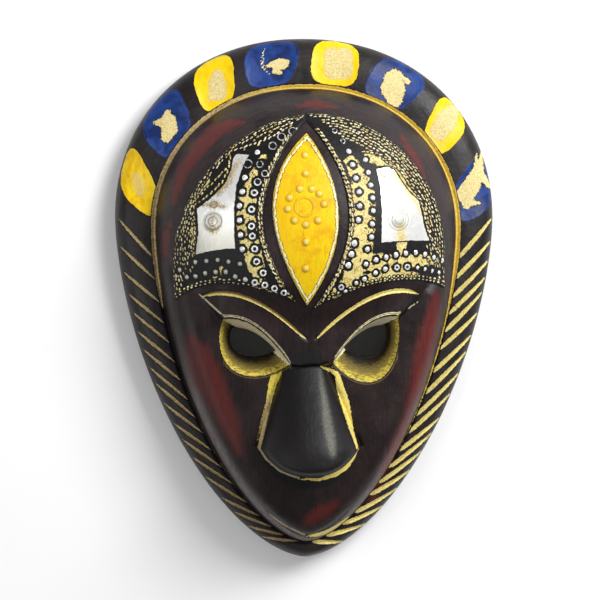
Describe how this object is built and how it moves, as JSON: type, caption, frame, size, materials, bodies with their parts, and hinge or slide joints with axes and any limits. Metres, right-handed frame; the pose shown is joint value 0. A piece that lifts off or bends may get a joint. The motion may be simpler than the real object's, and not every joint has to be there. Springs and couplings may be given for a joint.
{
  "type": "mask",
  "caption": "Carved wooden face mask with a hatched and painted rim, open almond eyes, a wedge nose and embossed metal plates on its forehead, lying on its flat back edge.",
  "frame": {"origin": "under the middle of the outline, on the surface that the back of the rim lies on", "axes": "+Z out of the face, +Y towards the crest over the forehead, +X to the right of the face as it is seen"},
  "size_m": [0.2046, 0.28, 0.0745],
  "materials": {
    "painted_wood": "satin black and dark brown paint with yellow, blue, cream and dark red brushwork",
    "embossed_metal": "bright embossed sheet with black and cream paint in its hollows",
    "yellow_metal": "satin yellow paint over embossed sheet, worn on the raised dots"
  },
  "bodies": {
    "root": {"carved_body": "painted_wood", "left_forehead_plate": "embossed_metal", "right_forehead_plate": "embossed_metal", "centre_lens_plate": "yellow_metal"}
  },
  "joints": []
}
